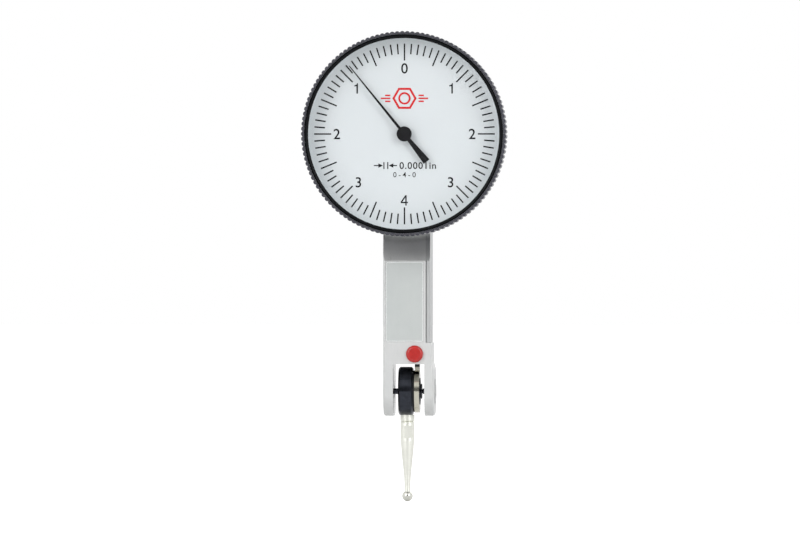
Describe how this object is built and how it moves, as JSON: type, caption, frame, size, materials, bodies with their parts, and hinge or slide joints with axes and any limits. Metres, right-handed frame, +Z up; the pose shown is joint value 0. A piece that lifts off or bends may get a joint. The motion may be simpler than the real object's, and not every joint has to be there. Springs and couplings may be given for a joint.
{
  "type": "dial test indicator",
  "caption": "Lever-type dial test indicator: round dial with knurled turning bezel on a slim dovetailed body, forked at the foot for a swivelling ball-ended stylus.",
  "frame": {"origin": "where the dial's axis meets the outer face of the rear dovetail", "axes": "+Z up the body from the stylus towards the dial, +X to the right as the dial is read, -Y out of the dial towards the reader"},
  "size_m": [0.038, 0.0233, 0.0873],
  "materials": {
    "satin_chrome": "satin chrome plate, faintly grained along the body",
    "satin_label": "matt anodised plate, left blank",
    "steel_screw": "turned and slotted steel",
    "red_plastic": "smooth moulded plastic",
    "black_steel": "blackened steel, satin",
    "brass_plate": "fine grained rolled brass",
    "brass_turned": "turned brass",
    "ruby": "polished synthetic ruby, stood in for by gloss plastic",
    "spring_steel": "blued spring strip",
    "knurled_dark_alloy": "dark anodised, straight knurled",
    "white_enamel": "matt white dial enamel",
    "clear_crystal": "clear polished watch crystal",
    "black_gloss_ring": "gloss black moulding",
    "black_enamel": "black enamel",
    "polished_steel": "polished steel",
    "lever_steel": "ground steel, slightly warm",
    "black_fibre": "black fibre",
    "stylus_steel": "bright ground steel",
    "carbide": "polished tungsten carbide"
  },
  "bodies": {
    "frame_body": {"body_frame": "satin_chrome", "dial_case": "satin_chrome", "case_screws": "steel_screw", "side_cover": "satin_chrome", "side_cover_screws": "steel_screw", "label_plate": "satin_label", "access_plug": "red_plastic", "stop_screw": "steel_screw", "pivot_screw_left": "black_steel", "pivot_screw_right": "black_steel", "bearing_plate": "brass_plate", "bearing_plate_pillars": "brass_turned", "bearing_plate_screws": "steel_screw", "train_jewels": "ruby", "centre_jewels": "ruby", "dial_bridge": "brass_plate", "bridge_pillars": "brass_turned", "bridge_screws": "steel_screw", "hairspring": "spring_steel", "hairspring_stud": "brass_turned", "bezel_retainer": "spring_steel"},
    "bezel_body": {"bezel_ring": "knurled_dark_alloy", "dial_plate": "white_enamel", "dial_spacer": "white_enamel", "crystal": "clear_crystal", "crystal_ring": "black_gloss_ring"},
    "hand_body": {"centre_arbor": "polished_steel", "hand": "black_enamel", "hand_hub": "black_enamel", "hairspring_collet": "brass_turned"},
    "crown_body": {"crown_gear": "brass_plate", "crown_arbor": "polished_steel"},
    "sector_body": {"sector_gear": "brass_plate", "sector_arbor": "polished_steel", "drive_pin": "polished_steel"},
    "lever_body": {"lever_plate": "lever_steel"},
    "stylus_body": {"contact_hub": "black_steel", "hub_arbor": "black_steel", "friction_washer": "black_fibre", "spring_washer": "black_steel", "stylus_shank": "stylus_steel", "stylus_ball": "carbide"}
  },
  "joints": [
    {"name": "bezel_turn", "type": "hinge", "parent": "frame_body", "child": "bezel_body", "pos_m": [0, 0, 0], "axis": [0, 1, 0], "continuous": true},
    {"name": "hand_turn", "type": "hinge", "parent": "frame_body", "child": "hand_body", "pos_m": [0, 0, 0], "axis": [0, 1, 0], "range_deg": [-200, 200], "deforming": ["hairspring"]},
    {"name": "crown_gear_turn", "type": "hinge", "parent": "frame_body", "child": "crown_body", "pos_m": [0, -0.0077, 0], "axis": [1, 0, 0], "range_deg": [-34, 34]},
    {"name": "sector_swing", "type": "hinge", "parent": "frame_body", "child": "sector_body", "pos_m": [0, -0.0077, -0.0273], "axis": [1, 0, 0], "range_deg": [-1.7, 1.7]},
    {"name": "lever_rock", "type": "hinge", "parent": "frame_body", "child": "lever_body", "pos_m": [0, -0.0077, -0.04778], "axis": [1, 0, 0], "range_deg": [-0.34, 0.34]},
    {"name": "stylus_swivel", "type": "hinge", "parent": "lever_body", "child": "stylus_body", "pos_m": [0, -0.0077, -0.04778], "axis": [1, 0, 0], "range_deg": [-105, 105]}
  ],
  "couplings": [
    {"joint": "crown_gear_turn", "follows": "hand_turn", "ratio": -0.16667},
    {"joint": "sector_swing", "follows": "hand_turn", "ratio": 0.0083333},
    {"joint": "lever_rock", "follows": "hand_turn", "ratio": -0.0016585}
  ]
}
